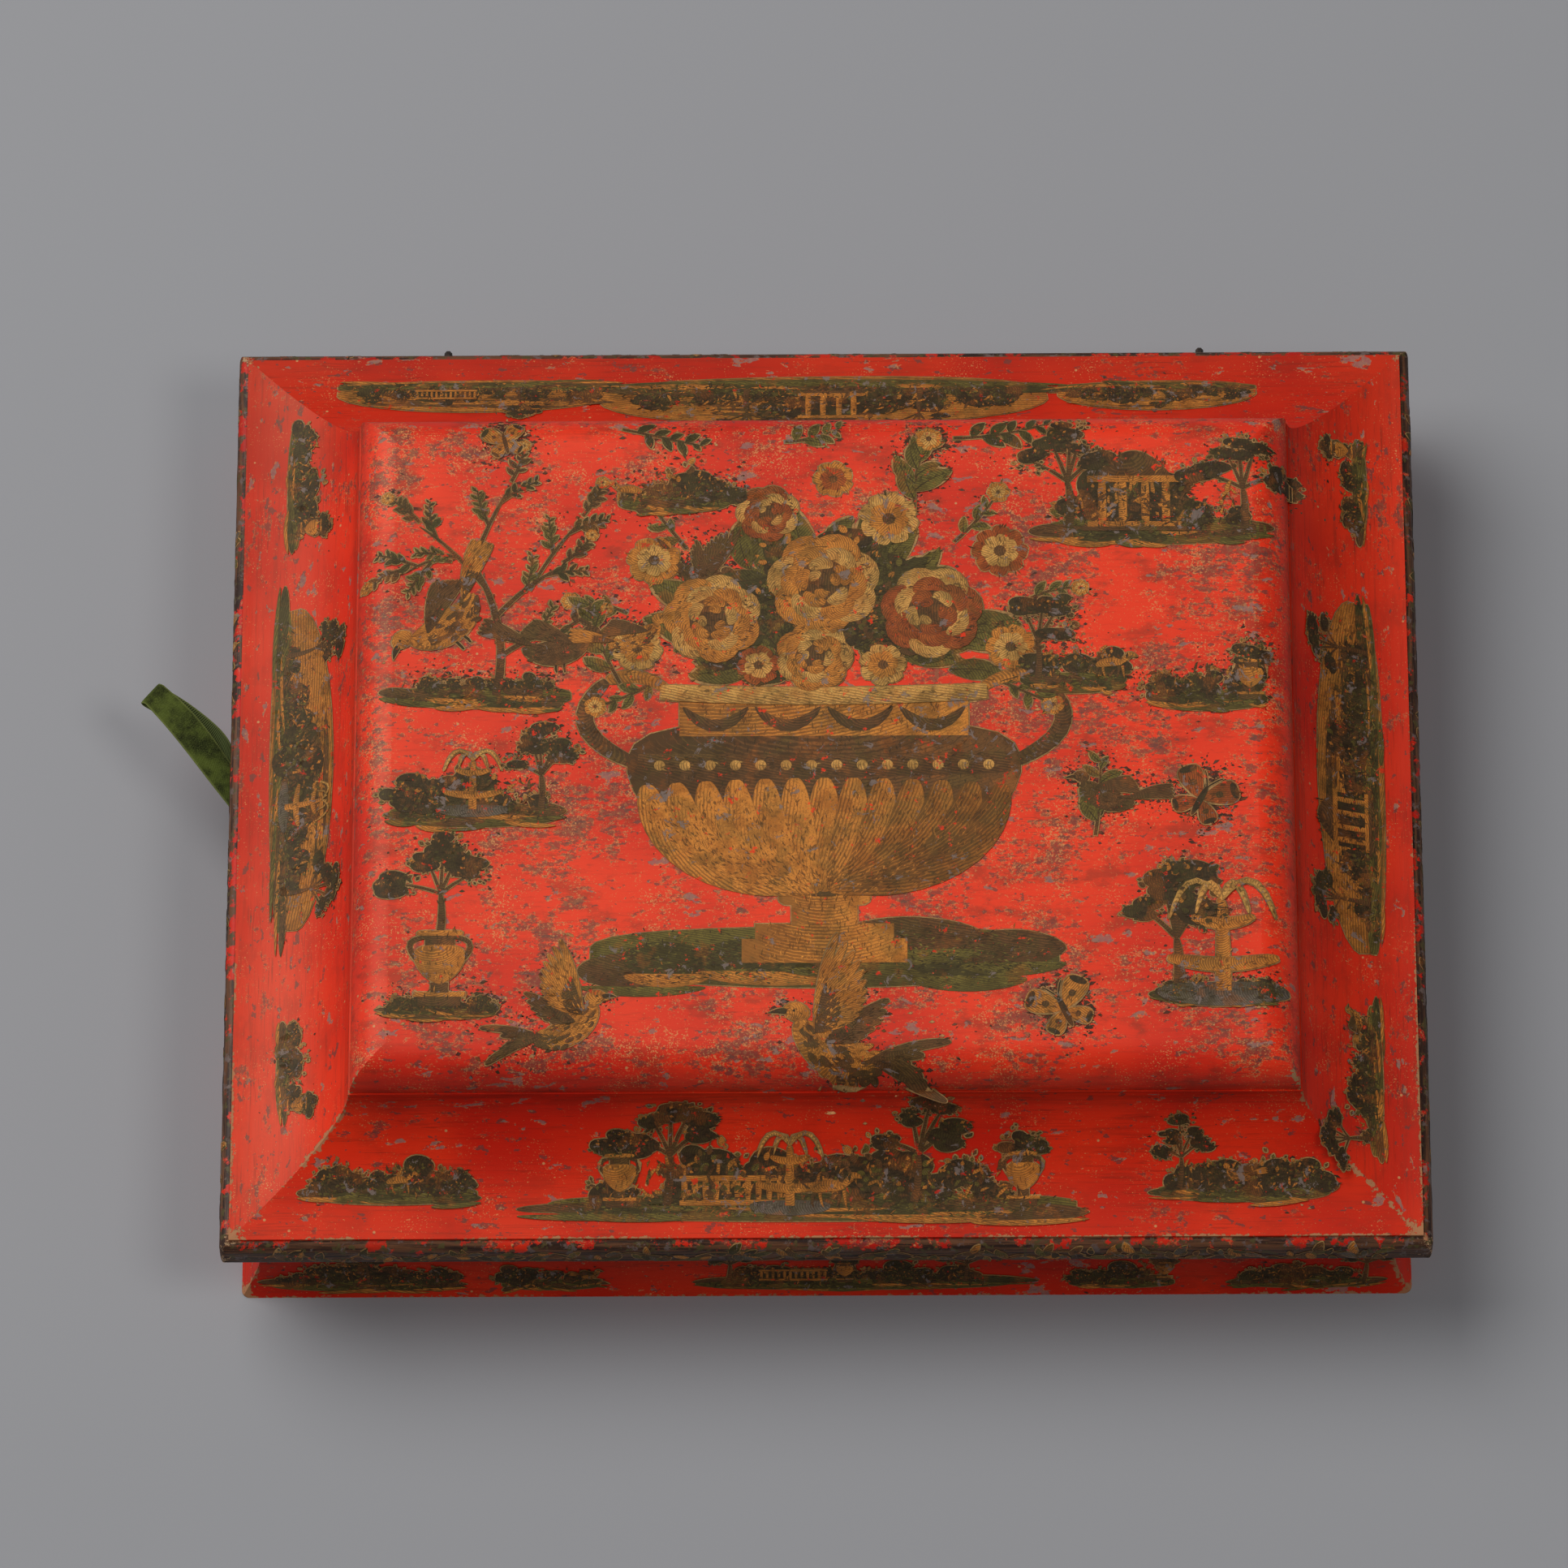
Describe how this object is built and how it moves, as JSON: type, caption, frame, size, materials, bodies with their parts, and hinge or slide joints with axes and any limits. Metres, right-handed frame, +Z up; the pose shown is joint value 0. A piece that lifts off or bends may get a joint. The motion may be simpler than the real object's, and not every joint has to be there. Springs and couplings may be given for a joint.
{
  "type": "lacquered wooden box",
  "caption": "Low rectangular lacquered wooden box for papers, with a hinged overhanging moulded lid, paper cut-out decoration and a velvet ribbon stay.",
  "frame": {"origin": "middle of the underside, on the table", "axes": "+Z up, -Y towards the front, +Y towards the hinges, +X to the right; the ribbon is on the -X side"},
  "size_m": [0.3942, 0.3127, 0.085],
  "materials": {
    "lacquer_lid": "vermilion lacquer under aged varnish, worn and crazed, with printed paper cut-outs",
    "lacquer_box": "vermilion lacquer, rubbed at the foot, with printed paper cut-outs",
    "edge_strip": "red lacquer under a dark printed paper border, rubbed",
    "bare_pine": "planed softwood, aged and dusty",
    "iron": "dark wrought iron",
    "brass": "tarnished",
    "lining_paper": "aged laid paper",
    "velvet": "cut velvet pile on a ribbed back",
    "paper_cutouts": "hand-coloured printed paper under varnish"
  },
  "bodies": {
    "box": {"box_front": "lacquer_box", "box_left": "lacquer_box", "box_right": "lacquer_box", "box_back": "lacquer_box", "box_bottom": "bare_pine", "bottom_nails": "iron", "back_nails": "iron", "lining_floor": "lining_paper", "lining_front": "lining_paper", "lining_back": "lining_paper", "lining_left": "lining_paper", "lining_right": "lining_paper", "hinge_box_left": "iron", "hinge_box_right": "iron", "tack_box": "brass", "ribbon_stay": "velvet"},
    "lid": {"lid_rail_front": "lacquer_lid", "lid_rail_back": "lacquer_lid", "lid_rail_left": "lacquer_lid", "lid_rail_right": "lacquer_lid", "lid_panel": "lacquer_lid", "lid_edge_front": "edge_strip", "lid_edge_back": "edge_strip", "lid_edge_left": "edge_strip", "lid_edge_right": "edge_strip", "lid_lining_front": "lining_paper", "lid_lining_back": "lining_paper", "lid_lining_left": "lining_paper", "lid_lining_right": "lining_paper", "lid_lining_panel": "lining_paper", "hinge_lid_left": "iron", "hinge_lid_right": "iron", "tack_lid": "brass"}
  },
  "joints": [
    {"name": "lid_hinge", "type": "hinge", "parent": "box", "child": "lid", "pos_m": [0, 0.1563, 0.0345], "axis": [-1, 0, 0], "range_deg": [0, 95], "deforming": ["ribbon_stay"]}
  ]
}
